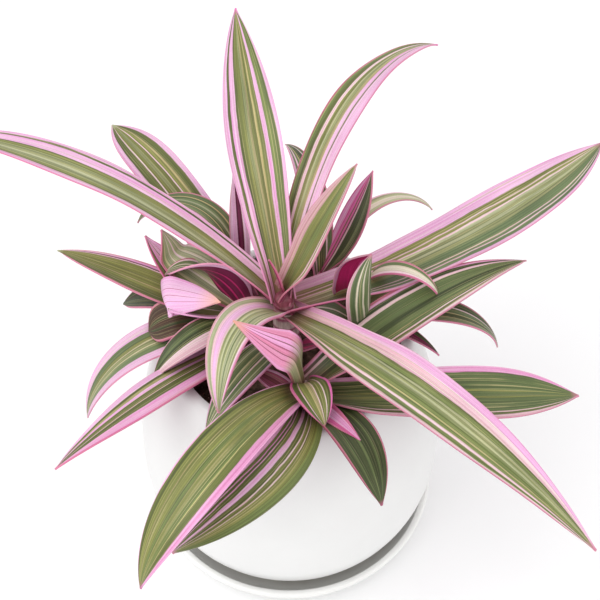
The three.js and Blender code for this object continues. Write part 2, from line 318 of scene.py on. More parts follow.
def stripeStops(stripes):  # a stripe starts at its place across the blade, from the right edge to the left
    stops = []
    for i, (start, tone) in enumerate(stripes):
        last = i + 1 == len(stripes)
        end = 1.0 if last else stripes[i + 1][0]
        soft = min(leafLook["soften"], (end - start) / 3)
        stops.append((start + (soft if i else 0), linear(tone)))
        stops.append((end - (0 if last else soft), linear(tone)))
    return stops


def leafPaint(name, leaf):
    material, tree, shader = newPaint("paint_" + name, leafLook["specular"], leafLook["coat"])
    bladeMap = tree.nodes.new("ShaderNodeUVMap")
    bladeMap.uv_map = "blade"
    u, v = splitVector(tree, bladeMap.outputs[0])[:2]
    noise = {}
    for kind, (across, along, shift, detail, roughness) in leafNoise.items():
        x = times(tree, u, across * (leaf["width"] / 20))
        y = times(tree, v, along * (leaf["length"] / 100))
        noise[kind] = noiseAt(tree, joinVector(tree, x, y, shift + leaf["seed"]), 1, detail, roughness)
    streak, thread, fibre, blotch = [noise[kind] for kind in ("streak", "thread", "fibre", "blotch")]

    place = u
    for kind in ("drift", "jag"):
        wander = times(tree, mathNode(tree, "SUBTRACT", noise[kind], 0.5), leafLook[kind])
        place = mathNode(tree, "ADD", place, wander)
    upper = ramp(tree, place, stripeStops(leaf["stripes"]))
    turned = [(start, underTones.get(tone, "plum")) for start, tone in leaf["stripes"]]
    lower = ramp(tree, place, stripeStops(leaf.get("underStripes", turned)))

    bands = ramp(tree, streak, leafLook["bandStops"])
    upper = mixColor(tree, leafLook["streaks"], upper, bands, "OVERLAY")
    lower = mixColor(tree, leafLook["underStreaks"], lower, bands, "OVERLAY")
    pale = fadeIn(tree, thread, leafLook["paleFrom"], leafLook["threadSteep"])
    patches = fadeIn(tree, blotch, leafLook["patchFrom"], leafLook["patchSteep"])
    pale = times(tree, times(tree, pale, patches), leaf["lines"])
    upper = mixColor(tree, pale, upper, linear(leafLook["paleThread"]))
    deep = fadeOut(tree, thread, leafLook["deepTo"], leafLook["threadSteep"])
    deep = times(tree, deep, leafLook["deep"])
    upper = mixColor(tree, deep, upper, leafLook["deepThread"], "MULTIPLY")

    underside = tree.nodes.new("ShaderNodeAttribute")
    underside.attribute_name = "under"
    below = fadeIn(tree, v, leaf["underFrom"], leafLook["underSteep"])
    below = times(tree, underside.outputs["Fac"], below)
    color = mixColor(tree, below, upper, lower)
    grain = noiseAt(tree, objectPlace(tree), leafLook["grain"])
    grain = times(tree, grain, leafLook["grainShare"])
    blotches = mathNode(tree, "ADD", times(tree, blotch, leafLook["blotchShare"]), grain)
    blotches = ramp(tree, blotches, leafLook["blotchStops"])
    color = mixColor(tree, leafLook["blotches"], color, blotches, "MULTIPLY")
    weave = ramp(tree, fibre, leafLook["weaveStops"])
    color = mixColor(tree, leafLook["weave"], color, weave, "MULTIPLY")

    edge = times(tree, mathNode(tree, "ABSOLUTE", mathNode(tree, "SUBTRACT", u, 0.5)), 2)
    margin = fadeIn(tree, edge, 1 - leafLook["marginWidth"] / leaf["width"], leafLook["marginSteep"])
    margin = times(tree, margin, leafLook["margin"])
    color = mixColor(tree, margin, color, linear(leaf["rim"]))
    tip = fadeIn(tree, v, leaf["tipFrom"], leafLook["tip"] / (1 - leaf["tipFrom"]))
    color = mixColor(tree, tip, color, linear(leaf["tip"]))
    shade = fadeOut(tree, v, leafLook["shadeTo"], leafLook["shadeSteep"])
    color = mixColor(tree, shade, color, leafLook["shade"], "MULTIPLY")
    foot = fadeOut(tree, v, leafLook["footTo"], leafLook["footSteep"])
    foot = times(tree, foot, leafLook["foot"])
    color = mixColor(tree, foot, color, linear(leafLook["footTone"]))
    tree.links.new(color, shader.inputs["Base Color"])
    tree.links.new(ramp(tree, streak, leafLook["roughStops"]), shader.inputs["Roughness"])
    relief = mathNode(tree, "ADD", streak, fibre)
    addBump(tree, shader, relief, leafLook["bump"], leafLook["bumpDepth"])
    return material


leafPieces = []


def makeLeaf(name, values):
    leaf = {**leafDefaults, **values, "seed": (len(leafPieces) + 1) * bladeMesh["seedStep"]}
    rows = bladeMesh["rows"] + leaf["length"] * bladeMesh["rowsPerMm"]
    rows += abs(leaf["fold"]) * bladeMesh["rowsPerFold"]
    deselectAll()
    bpy.ops.mesh.primitive_grid_add(x_subdivisions=bladeMesh["columns"], y_subdivisions=int(rows), size=2)
    piece = bpy.context.object
    piece.name = "blade_" + name
    mesh = piece.data
    count = len(mesh.vertices)
    flat = np.empty(count * 3)
    mesh.vertices.foreach_get("co", flat)
    flat = flat.reshape(-1, 3)
    u, s = -flat[:, 0], np.clip((flat[:, 1] + 1) / 2, 0, 1)
    mesh.vertices.foreach_set("co", bladePoints(leaf, u, s).ravel())
    mesh.uv_layers[0].name = "blade"
    corners = np.empty(len(mesh.loops), int)
    mesh.loops.foreach_get("vertex_index", corners)
    mesh.uv_layers["blade"].data.foreach_set("uv", np.stack([(u[corners] + 1) / 2, s[corners]], 1).ravel())
    thick = piece.modifiers.new("thick", "SOLIDIFY")
    thick.thickness = bladeMesh["thickness"] * mm
    thick.offset = 0
    applyAll(piece)
    under = mesh.attributes.new("under", "FLOAT", "POINT")
    sides = np.zeros(len(mesh.vertices))
    sides[count:2 * count] = 1  # Solidify lists the lower side's points after the upper side's
    under.data.foreach_set("value", sides)
    bpy.ops.object.shade_smooth_by_angle(angle=math.radians(bladeMesh["smoothAngle"]))
    mesh.materials.clear()
    mesh.materials.append(leafPaint(name, leaf))
    node = values.get("node", "leaf_" + name)
    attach(piece, "root")
    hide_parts(node)
    leafPieces.append(piece)


# One dictionary a leaf: degrees and mm, heading 0 is +X and 90 away from the viewer,
# stripes from the blade's right edge to its left as seen from the stem

leftLong = {
    "stem": "main", "z": 158, "heading": 137, "sweep": 35, "rise": 18, "droop": 15, "length": 193,
    "width": 25, "roll": 13, "widest": 0.7, "tip": "pink",
    "stripes": [(0, "pink"), (0.07, "moss"), (0.12, "pink"), (0.33, "moss"), (0.36, "olive"),
                (0.45, "grey"), (0.58, "mist"), (0.66, "grey"), (0.76, "olive"), (0.82, "moss"),
                (0.88, "pink")],
}
makeLeaf("left_long", leftLong)

tall = {
    "stem": "main", "z": 164, "heading": 107, "sweep": -11, "rise": 49, "droop": 42, "length": 148,
    "width": 26, "roll": -11, "widest": 0.5, "rim": "candy", "tip": "hot",
    "stripes": [(0, "pink"), (0.06, "green"), (0.24, "pink"), (0.32, "olive"), (0.4, "sand"),
                (0.43, "olive"), (0.5, "sand"), (0.54, "grey"), (0.6, "olive"), (0.7, "moss"),
                (0.75, "pink"), (0.85, "moss"), (0.91, "pink")],
}
makeLeaf("tall", tall)

rightLong = {
    "stem": "main", "z": 157, "heading": 17, "sweep": 28, "rise": 6, "droop": 3, "length": 194,
    "width": 34, "roll": -6, "widest": 0.56, "foot": 0.65, "point": 2.6, "tip": "rose",
    "stripes": [(0, "pink"), (0.05, "jade"), (0.11, "blush"), (0.13, "jade"), (0.18, "blush"),
                (0.2, "jade"), (0.36, "grey"), (0.45, "mist"), (0.5, "grey"), (0.57, "mist"),
                (0.62, "blush"), (0.65, "olive"), (0.7, "blush"), (0.72, "olive"), (0.8, "pink")],
}
makeLeaf("right_long", rightLong)

upperRight = {
    "stem": "main", "z": 161, "heading": 79, "sweep": -37, "rise": 51, "droop": 80, "length": 177,
    "width": 20, "roll": -15, "widest": 0.57, "tip": "hot",
    "stripes": [(0, "pink"), (0.27, "moss"), (0.31, "pink"), (0.42, "sand"), (0.5, "grey"),
                (0.58, "mist"), (0.62, "olive"), (0.71, "blush"), (0.79, "moss"), (0.87, "green"),
                (0.96, "rim")],
}
makeLeaf("upper_right", upperRight)

inner = {
    "stem": "main", "z": 167, "heading": 20, "sweep": 3, "rise": 68, "droop": 9, "length": 79,
    "width": 23, "roll": -6, "widest": 0.42,
    "stripes": [(0, "dusty"), (0.07, "olive"), (0.12, "blush"), (0.17, "olive"), (0.36, "green"),
                (0.5, "moss"), (0.53, "olive"), (0.77, "mauve")],
}
makeLeaf("inner", inner)

frontLong = {
    "stem": "main", "z": 154, "heading": 309, "sweep": 12, "rise": 26, "droop": 60, "length": 186,
    "width": 28, "roll": -4, "twist": 6, "widest": 0.42,
    "stripes": [(0, "dusty"), (0.05, "green"), (0.13, "blush"), (0.16, "dusty"), (0.185, "green"),
                (0.26, "straw"), (0.28, "green"), (0.4, "grey"), (0.45, "mist"), (0.49, "grey"),
                (0.55, "mist"), (0.58, "green"), (0.66, "moss"), (0.7, "dusty"), (0.77, "blush"),
                (0.85, "pink")],
}
makeLeaf("front_long", frontLong)

frontCurl = {
    "stem": "main", "z": 151, "heading": 213, "sweep": 62, "rise": 56, "droop": 125, "length": 85,
    "width": 24, "roll": 12, "widest": 0.3,
    "stripes": [(0, "dusty"), (0.06, "mist"), (0.17, "blush"), (0.23, "pink"), (0.35, "dusty"),
                (0.4, "grey"), (0.46, "mist"), (0.53, "grey"), (0.6, "mist"), (0.68, "jade"),
                (0.72, "mist"), (0.84, "grey"), (0.9, "blush"), (0.95, "candy")],
}
makeLeaf("front_curl", frontCurl)

lowLeft = {
    "stem": "main", "z": 135, "heading": 239, "sweep": -3, "rise": 36, "droop": 79, "length": 74,
    "width": 17,
    "stripes": [(0, "pink"), (0.05, "jade"), (0.2, "mist"), (0.27, "jade"), (0.42, "cream"),
                (0.46, "jade"), (0.6, "blush"), (0.64, "jade"), (0.78, "mist"), (0.82, "jade"),
                (0.93, "pink")],
}
makeLeaf("low_left", lowLeft)

frontBig = {
    "stem": "front", "z": 134, "heading": 242, "sweep": -15, "rise": 49, "droop": 124, "length": 145,
    "width": 24, "roll": -10, "widest": 0.54, "rim": "candy", "tip": "rose",
    "stripes": [(0, "candy"), (0.02, "moss"), (0.1, "olive"), (0.22, "sand"), (0.235, "olive"),
                (0.38, "green"), (0.46, "olive"), (0.58, "green"), (0.7, "straw"), (0.71, "moss"),
                (0.86, "candy")],
}
makeLeaf("front_big", frontBig)

frontUnder = {
    "stem": "front", "z": 128, "heading": 276, "sweep": -84, "rise": 40, "droop": 98, "length": 118,
    "width": 30, "roll": -12, "widest": 0.5, "rim": "moss",
    "stripes": [(0, "candy"), (0.3, "moss"), (0.345, "candy"), (0.36, "moss"), (0.4, "candy"),
                (0.415, "moss"), (0.5, "pink"), (0.58, "moss"), (0.66, "blush"), (0.675, "olive"),
                (0.74, "blush"), (0.75, "olive"), (0.88, "green")],
}
makeLeaf("front_under", frontUnder)

frontRight = {
    "stem": "front", "z": 131.5, "heading": 349, "sweep": 19, "rise": 16.2, "droop": 32, "length": 131,
    "width": 31, "roll": -12, "twist": 14, "widest": 0.56, "point": 2.4,
    "stripes": [(0, "dusty"), (0.06, "moss"), (0.12, "blush"), (0.14, "fern"), (0.42, "olive"),
                (0.45, "fern"), (0.54, "olive"), (0.57, "fern"), (0.9, "candy")],
}
makeLeaf("front_right", frontRight)

rightDark = {
    "stem": "front", "z": 138, "heading": 31, "sweep": -2, "rise": 30, "droop": 50, "length": 132,
    "width": 26, "widest": 0.4,
    "stripes": [(0, "dusty"), (0.07, "moss"), (0.12, "blush"), (0.145, "fern"), (0.21, "straw"),
                (0.222, "fern"), (0.36, "dark"), (0.48, "fern"), (0.76, "blush"), (0.8, "dusty"),
                (0.83, "dark"), (0.92, "candy"), (0.97, "rim")],
}
makeLeaf("right_dark", rightDark)

frontDark = {
    "stem": "front", "z": 125.5, "heading": 318, "sweep": -33, "rise": 44, "droop": 92, "length": 78,
    "width": 23, "roll": -16, "widest": 0.55, "rim": "wine", "lines": 0.25, "tip": "rose",
    "stripes": [(0, "rim"), (0.03, "dark"), (0.22, "fern"), (0.26, "dark"), (0.46, "fern"),
                (0.54, "dark"), (0.74, "fern"), (0.78, "dark"), (0.97, "rim")],
}
makeLeaf("front_dark", frontDark)

frontSliver = {
    "stem": "front", "z": 131, "heading": 300, "sweep": 17, "rise": 44, "droop": 62, "length": 46,
    "width": 10,
    "stripes": [(0, "hot"), (0.3, "candy"), (0.8, "hot")],
}
makeLeaf("front_sliver", frontSliver)

foldFront = {
    "stem": "front", "z": 143, "heading": 286, "sweep": 8, "rise": 66, "droop": 136, "length": 36,
    "width": 18,
    "stripes": [(0, "hot"), (0.06, "moss"), (0.2, "blush"), (0.23, "olive"), (0.42, "straw"),
                (0.45, "sand"), (0.54, "blush"), (0.57, "olive"), (0.76, "blush"), (0.79, "moss"),
                (0.94, "hot")],
}
makeLeaf("fold_front", foldFront)

leftBrown = {
    "stem": "left", "z": 129.5, "heading": 190, "sweep": 3, "rise": 52, "droop": 92, "length": 57,
    "width": 24, "wrap": 40, "point": 7, "widest": 0.65, "tip": "brown",
    "stripes": [(0, "rim"), (0.05, "brown"), (0.36, "dark"), (0.44, "brown"), (0.6, "dark"),
                (0.68, "brown"), (0.94, "rim")],
}
makeLeaf("left_brown", leftBrown)

leftOlive = {
    "stem": "left", "z": 132, "heading": 167, "sweep": -12, "rise": 24, "droop": 31, "length": 105,
    "width": 21, "roll": 6, "widest": 0.5, "tip": "mist",
    "stripes": [(0, "rim"), (0.03, "pink"), (0.08, "brown"), (0.11, "blush"), (0.14, "olive"),
                (0.4, "moss"), (0.44, "olive"), (0.6, "sand"), (0.63, "olive"), (0.8, "moss"),
                (0.96, "rim")],
}
makeLeaf("left_olive", leftOlive)

leftBud = {
    "stem": "left", "z": 128, "heading": 164, "sweep": -34, "rise": 34, "droop": 14, "length": 72,
    "width": 19,
    "stripes": [(0, "hot"), (0.08, "pink"), (0.34, "rose"), (0.37, "pink"), (0.56, "olive"),
                (0.6, "candy"), (0.8, "brown"), (0.84, "olive"), (0.93, "hot")],
}
leftBud["underStripes"] = leftBud["stripes"]  # the same on both sides
makeLeaf("left_bud", leftBud)

leftDark = {
    "stem": "left", "z": 127, "heading": 162, "sweep": 7, "rise": 38, "droop": 84, "length": 74,
    "width": 18, "wrap": 40, "point": 5, "tip": "dark",
    "stripes": [(0, "rim"), (0.04, "dark"), (0.3, "brown"), (0.4, "dark"), (0.7, "moss"), (0.76, "dark"),
                (0.96, "rim")],
}
makeLeaf("left_dark", leftDark)

leftGreen = {
    "stem": "left", "z": 135, "heading": 228, "sweep": -17, "rise": 46, "droop": 106, "length": 66,
    "width": 17, "rim": "dusty",
    "stripes": [(0, "rim"), (0.04, "dark"), (0.2, "fern"), (0.34, "dark"), (0.5, "fern"), (0.56, "blush"),
                (0.6, "dusty"), (0.96, "rim")],
}
makeLeaf("left_green", leftGreen)

leftPinkEdge = {
    "stem": "left", "z": 126.6, "heading": 193, "sweep": 24, "rise": 34, "droop": 115, "length": 109,
    "width": 27, "roll": 14, "wrap": 50,
    "stripes": [(0, "pink"), (0.2, "jade"), (0.34, "olive"), (0.42, "cream"), (0.45, "grey"),
                (0.55, "cream"), (0.58, "jade"), (0.76, "pink")],
}
makeLeaf("left_pink_edge", leftPinkEdge)

leftLow = {
    "stem": "left", "z": 122.5, "heading": 232, "sweep": -16, "rise": 28.3, "droop": 53, "length": 124,
    "width": 21, "roll": 10,
    "stripes": [(0, "pink"), (0.13, "moss"), (0.2, "olive"), (0.26, "pink"), (0.33, "moss"),
                (0.48, "blush"), (0.5, "moss"), (0.68, "candy"), (0.96, "hot")],
}
makeLeaf("left_low", leftLow)

leftFold = {
    "stem": "left", "z": 140, "heading": 197, "sweep": -42, "rise": 24, "droop": 26, "length": 74,
    "width": 23, "roll": 25, "fold": 165, "foldAt": 0.5, "foldSpan": 0.16, "rim": "candy",
    "tipFrom": 0.82, "tip": "peach",
    "stripes": [(0, "pink"), (0.15, "olive"), (0.4, "blush"), (0.45, "olive"), (0.85, "pink")],
    "underStripes": [(0, "candy"), (0.05, "pink"), (0.3, "rose"), (0.31, "pink"), (0.47, "rose"),
                     (0.48, "pink"), (0.62, "rose"), (0.63, "pink"), (0.95, "candy")],
}
makeLeaf("left_fold", leftFold)

leftWall = {
    "stem": "left", "z": 146, "heading": 150, "sweep": 25, "rise": 64, "droop": 120, "length": 50,
    "width": 24, "roll": 120, "twist": -110,
    "stripes": [(0, "rim"), (0.04, "blush"), (0.12, "jade"), (0.3, "ivory"), (0.38, "jade"),
                (0.5, "ivory"), (0.55, "jade"), (0.7, "blush"), (0.76, "jade"), (0.92, "pink")],
    "underStripes": [(0, "pink"), (0.1, "plum"), (0.24, "magenta"), (0.3, "plum"), (0.45, "magenta"),
                     (0.5, "plum"), (0.66, "magenta"), (0.7, "plum"), (0.9, "pink")],
}
makeLeaf("left_wall", leftWall)

leftArch = {
    "stem": "left", "z": 144, "heading": 150, "sweep": 0, "rise": 40, "droop": 70, "length": 60,
    "width": 22, "roll": -20, "fold": 90, "foldAt": 0.65, "foldSpan": 0.15,
    "stripes": [(0, "blush"), (0.08, "mist"), (0.2, "ivory"), (0.26, "mist"), (0.4, "blush"),
                (0.46, "mist"), (0.58, "ivory"), (0.62, "mist"), (0.78, "cream"), (0.84, "grey"),
                (0.94, "rim")],
}
makeLeaf("left_arch", leftArch)

foldLeft = {
    "stem": "front", "z": 146, "heading": 5, "sweep": -20, "rise": 100, "droop": 0, "length": 54,
    "width": 19, "roll": -20, "fold": 46, "foldAt": 0.3, "foldSpan": 0.18, "widest": 0.5, "point": 1,
    "tipFrom": 0.82, "underFrom": 0.3, "tip": "peach",
    "stripes": [(0, "rose"), (0.06, "mist"), (0.3, "cream"), (0.36, "grey"), (0.6, "mist"),
                (0.92, "rose")],
    "underStripes": [(0, "candy"), (0.08, "salmon"), (0.22, "rose"), (0.245, "salmon"), (0.36, "wine"),
                     (0.385, "salmon"), (0.5, "rose"), (0.53, "candy"), (0.64, "wine"), (0.665, "candy"),
                     (0.78, "rose"), (0.81, "salmon"), (0.95, "candy")],
}
makeLeaf("fold_left", foldLeft)

rightRibbon = {
    "stem": "right", "z": 146, "heading": 335, "sweep": 0, "rise": 84, "droop": 160, "length": 60,
    "width": 9, "bend": 1.5, "wrap": 40, "tip": "rose",
    "stripes": [(0, "hot"), (0.08, "blush"), (0.26, "ivory"), (0.7, "jade"), (0.9, "rim")],
}
makeLeaf("right_ribbon", rightRibbon)

hood = {
    "stem": "right", "z": 145, "heading": 280, "sweep": -25, "rise": 12, "droop": -96, "length": 52,
    "width": 40, "roll": -65, "bend": 0.6, "widest": 0.5, "point": 4, "cup": -118, "wrap": -60,
    "stripes": [(0, "blush"), (0.1, "jade"), (0.3, "ivory"), (0.33, "jade"), (0.5, "straw"),
                (0.52, "jade"), (0.7, "ivory"), (0.72, "jade"), (0.79, "ivory"), (0.81, "jade"),
                (0.87, "ivory"), (0.89, "jade"), (0.96, "dusty")],
    "underStripes": [(0, "pink"), (0.05, "magenta"), (0.3, "hot"), (0.34, "magenta"), (0.5, "hot"),
                     (0.54, "magenta"), (0.68, "hot"), (0.71, "magenta"), (0.95, "pink")],
}
makeLeaf("hood", hood)

rightSmall = {
    "stem": "right", "z": 133, "heading": 30, "sweep": -10, "rise": 42, "droop": 74, "length": 38,
    "width": 12,
    "stripes": [(0, "pink"), (0.12, "green"), (0.3, "olive"), (0.36, "green"), (0.86, "pink")],
}
makeLeaf("right_small", rightSmall)

rightHook = {
    "stem": "right", "z": 128.5, "heading": 350, "sweep": 10, "rise": 38, "droop": 116, "length": 89,
    "width": 15,
    "stripes": [(0, "rim"), (0.04, "jade"), (0.22, "straw"), (0.25, "dark"), (0.44, "straw"),
                (0.47, "jade"), (0.66, "blush"), (0.7, "dark"), (0.95, "rim")],
}
makeLeaf("right_hook", rightHook)

rightPurple = {
    "stem": "right", "z": 125, "heading": 322, "sweep": 8, "rise": 50, "droop": 90, "length": 55,
    "width": 8,
    "stripes": [(0, "plum"), (0.62, "dark"), (0.95, "rim")],
}
makeLeaf("right_purple", rightPurple)

backHook = {
    "stem": "back_right", "z": 132, "heading": 91, "sweep": 26, "rise": 74, "droop": 108, "length": 90,
    "width": 15,
    "stripes": [(0, "rim"), (0.05, "jade"), (0.22, "blush"), (0.28, "dark"), (0.56, "straw"),
                (0.6, "jade"), (0.72, "blush"), (0.8, "jade"), (0.9, "pink")],
}
makeLeaf("back_hook", backHook)

backBud = {
    "stem": "back_right", "z": 139, "heading": 20, "sweep": 8, "rise": 60, "droop": -20, "length": 67,
    "width": 20,
    "stripes": [(0, "rim"), (0.04, "dark"), (0.18, "jade"), (0.3, "dark"), (0.52, "dusty"),
                (0.58, "brown"), (0.61, "hot"), (0.68, "moss"), (0.71, "hot"), (0.82, "candy"),
                (0.95, "hot")],
}
backBud["underStripes"] = backBud["stripes"]  # the same on both sides
makeLeaf("back_bud", backBud)

backPale = {
    "stem": "back_right", "z": 127, "heading": 66, "sweep": -57, "rise": 61, "droop": 120, "length": 95,
    "width": 9,
    "stripes": [(0, "mist"), (0.3, "ivory"), (0.6, "mist"), (0.9, "blush")],
}
makeLeaf("back_pale", backPale)

backSmall = {
    "stem": "back_right", "z": 132, "heading": 40, "sweep": 8, "rise": 58, "droop": 20, "length": 30,
    "width": 10,
    "stripes": [(0, "green"), (0.4, "olive"), (0.5, "green"), (0.9, "olive")],
}
makeLeaf("back_small", backSmall)

farLeft = {
    "stem": "back_left", "z": 126, "heading": 131, "sweep": 1, "rise": 44, "droop": 48, "length": 121,
    "width": 25, "point": 5, "tip": "mist",
    "stripes": [(0, "pink"), (0.12, "moss"), (0.26, "sand"), (0.3, "olive"), (0.38, "blush"),
                (0.41, "olive"), (0.5, "grey"), (0.6, "olive"), (0.68, "blush"), (0.71, "moss"),
                (0.88, "pink")],
}
makeLeaf("far_left", farLeft)

backLeftArch = {
    "stem": "back_left", "z": 139, "heading": 98, "sweep": 105, "rise": 63, "droop": 121, "length": 84,
    "width": 13,
    "stripes": [(0, "rim"), (0.04, "jade"), (0.2, "straw"), (0.25, "jade"), (0.42, "mist"), (0.5, "jade"),
                (0.64, "straw"), (0.68, "jade"), (0.92, "pink")],
}
makeLeaf("back_left_arch", backLeftArch)

backLeftSliver = {
    "stem": "back_left", "z": 134, "heading": 94, "sweep": 5, "rise": 67, "droop": 23, "length": 62,
    "width": 10,
    "stripes": [(0, "pink"), (0.3, "plum"), (0.6, "pink")],
}
makeLeaf("back_left_sliver", backLeftSliver)

young = {
    "stem": "main", "z": 169, "heading": 200, "sweep": 0, "rise": 80, "droop": 10, "length": 26,
    "width": 7,
    "stripes": [(0, "rose"), (0.14, "brown"), (0.3, "olive"), (0.4, "brown"), (0.6, "rose"),
                (0.66, "brown"), (0.86, "rose")],
}
makeLeaf("young", young)

# Sheaths round the stems' feet, shorter and blunter than blades

hoodSheath = {
    "stem": "right", "node": "stem_right", "z": 126, "heading": 178, "sweep": 20, "rise": 46, "droop": 40,
    "length": 30, "width": 17, "point": 3,
    "stripes": [(0, "rim"), (0.08, "jade"), (0.3, "ivory"), (0.36, "jade"), (0.6, "ivory"),
                (0.65, "jade"), (0.9, "candy")],
}
makeLeaf("hood_sheath", hoodSheath)

mainSheath = {
    "stem": "main", "node": "stem_main", "z": 122, "heading": 318, "sweep": 10, "rise": 62, "droop": 30,
    "length": 30, "width": 13, "point": 3,
    "stripes": [(0, "rose"), (0.15, "magenta"), (0.4, "plum"), (0.6, "magenta"), (0.85, "rose")],
}
makeLeaf("main_sheath", mainSheath)

frontSheath = {
    "stem": "front", "node": "stem_front", "z": 130, "heading": 165, "sweep": -10, "rise": 40,
    "droop": 34, "length": 28, "width": 11, "point": 2.5,
    "stripes": [(0, "candy"), (0.12, "rose"), (0.4, "wine"), (0.6, "rose"), (0.9, "candy")],
}
makeLeaf("front_sheath", frontSheath)

print("leaves are made:", len(leafPieces))

# Pot and saucer, turned from rings of radius and height in mm

turning = {"sides": 128, "merge": 0.01, "smoothAngle": 38}

potSizes = {
    "radius": 79, "widestZ": 53, "shoulderHeight": 126, "shoulderShift": 2.6,
    "footZ": 5.3, "footRound": ((2.5, 0), (0.6, 0.3)),  # inset and rise of the two lowest rings
    "outsideZ": (6.5, 10, 14, 19, 25, 31, 38, 45, 53, 61, 69, 77, 86, 95, 104, 113, 122, 129, 134, 136.6),
    "lip": ((58.5, 137.6), (57.6, 138), (55.6, 138), (54.5, 137.6), (54.1, 136.6)),
    "wall": 5, "insideZ": (130, 120, 106, 86, 66, 46, 30),
    "cornerZ": 18, "cornerWall": 6, "floorZ": 11.3, "floorEdgeZ": 12, "floorWall": 12, "floorMiddle": 6,
}
potGlaze = {"color": (0.79, 0.79, 0.78), "roughness": 0.38, "mottle": 0.03, "grooveShadeRadius": 0}


def potOuter(z):  # a ball up to its widest ring, then a taller shoulder that narrows to the mouth
    above = z - potSizes["widestZ"]
    if above <= 0:
        return math.sqrt(potSizes["radius"] ** 2 - above ** 2)
    shoulder = potSizes["radius"] - potSizes["shoulderShift"]
    return potSizes["shoulderShift"] + shoulder * math.sqrt(1 - (above / potSizes["shoulderHeight"]) ** 2)


def ringAt(z, inset=0, ringZ=None):  # a ring inset from the pot's outside, at z or moved to ringZ
    return potOuter(z) - inset, z if ringZ is None else ringZ


def turnRings(name, profile):  # a disc is extruded and resized from ring to ring, the last cap closes it
    deselectAll()
    radius, z = profile[0]
    bpy.ops.mesh.primitive_circle_add(
        vertices=turning["sides"], radius=radius * mm, fill_type="NGON", location=(0, 0, z * mm))
    piece = bpy.context.object
    piece.name = name
    bpy.ops.object.transform_apply(location=True, rotation=True, scale=True)
    bpy.ops.object.mode_set(mode="EDIT")
    bpy.ops.mesh.select_all(action="SELECT")
    for nextRadius, nextZ in profile[1:]:
        bpy.ops.mesh.extrude_region_move(TRANSFORM_OT_translate={"value": (0, 0, (nextZ - z) * mm)})
        factor = nextRadius / radius
        bpy.ops.transform.resize(value=(factor, factor, 1), center_override=(0, 0, nextZ * mm))
        radius, z = nextRadius, nextZ
    bpy.ops.mesh.select_all(action="SELECT")
    bpy.ops.mesh.remove_doubles(threshold=turning["merge"] * mm)
    bpy.ops.mesh.normals_make_consistent(inside=False)
    bpy.ops.object.mode_set(mode="OBJECT")
    bpy.ops.object.shade_smooth_by_angle(angle=math.radians(turning["smoothAngle"]))
    return piece


glazeLook = {
    "specular": 0.45, "coat": 0.15, "cloud": 26, "grain": 900, "bump": 0.12, "bumpDepth": 0.3,
    "mottleAt": (0.35, 0.65), "roughAt": (0.3, 0.7), "grainShare": 0.6,
    "smoother": 0.07, "rougher": 0.08,  # how far the roughness moves to either side
    "grooveShade": (0.27, 0.245, 0.21, 1), "grooveShadeSteep": 90, "grooveShadeLeast": 0.5, "grooveShadeFrom": 4,  # painted shade in the saucer's groove under the pot, in patches; the last in mm, none below it
}


def glazePaint(name, glaze):
    material, tree, shader = newPaint(name, glazeLook["specular"], glazeLook["coat"])
    where = objectPlace(tree)
    cloud = noiseAt(tree, where, glazeLook["cloud"], detail=4, roughness=0.6)
    grain = noiseAt(tree, where, glazeLook["grain"])
    low = tuple(c * (1 - glaze["mottle"]) for c in glaze["color"]) + (1,)
    base = ramp(tree, cloud, list(zip(glazeLook["mottleAt"], (low, glaze["color"] + (1,)))))
    if glaze["grooveShadeRadius"]:  # mm, painted shade of the groove lies inside this circle
        # painted shade: the saucer's floor darkens towards the pot's foot, where the pot's belly shades
        # the groove
        x, y, z = splitVector(tree, where)
        squares = [times(tree, side, side) for side in (x, y)]
        reach = mathNode(tree, "SQRT", mathNode(tree, "ADD", *squares))
        least = glazeLook["grooveShadeLeast"]
        patches = mathNode(tree, "ADD", times(tree, cloud, 1 - least), least)
        grooveShade = fadeOut(tree, reach, glaze["grooveShadeRadius"] * mm, glazeLook["grooveShadeSteep"])
        raised = mathNode(tree, "GREATER_THAN", z, glazeLook["grooveShadeFrom"] * mm)
        grooveShade = times(tree, times(tree, grooveShade, patches), raised)
        base = mixColor(tree, grooveShade, base, glazeLook["grooveShade"])
    tree.links.new(base, shader.inputs["Base Color"])
    smoother = (glaze["roughness"] - glazeLook["smoother"],) * 3 + (1,)
    rougher = (glaze["roughness"] + glazeLook["rougher"],) * 3 + (1,)
    rough = ramp(tree, cloud, list(zip(glazeLook["roughAt"], (smoother, rougher))))
    tree.links.new(rough, shader.inputs["Roughness"])
    relief = mathNode(tree, "ADD", times(tree, grain, glazeLook["grainShare"]), cloud)
    addBump(tree, shader, relief, glazeLook["bump"], glazeLook["bumpDepth"])
    return material


potProfile = [ringAt(potSizes["footZ"] + rise, inset) for inset, rise in potSizes["footRound"]]
potProfile += [ringAt(z) for z in potSizes["outsideZ"]]
potProfile += potSizes["lip"]
potProfile += [ringAt(z, potSizes["wall"]) for z in potSizes["insideZ"]]
potProfile += [ringAt(potSizes["cornerZ"], potSizes["cornerWall"]),
               ringAt(potSizes["floorEdgeZ"], potSizes["floorWall"], potSizes["floorZ"]),
               (potSizes["floorMiddle"], potSizes["floorZ"])]
pot = turnRings("pot_finished", potProfile)
pot.data.materials.append(glazePaint("whiteGlaze", potGlaze))
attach(pot, "root")
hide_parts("pot")

saucerSizes = {
    "foot": ((66, 0), (67.5, 0.4), (71, 2.2)),
    "outside": ((73.6, 4.4), (75.5, 7), (77.2, 10), (78.2, 13), (78.8, 15.4)),
    "lipFrom": (78.8, 15.8), "lipTo": (75.4, 16.2), "lipBulge": (0.4, 0.8), "lipRings": 8,
    "inside": ((75, 15.6), (74.4, 13.5), (73.8, 11.5), (72.2, 9.2), (70, 7.2), (67.5, 5.8), (65.5, 5.2)),
    "floor": ((63, 5), (6, 5)),
}
# the saucer carries painted shade in its groove under the pot
saucerGlaze = {"color": (0.86, 0.86, 0.84), "roughness": 0.42, "mottle": 0.04, "grooveShadeRadius": 75}


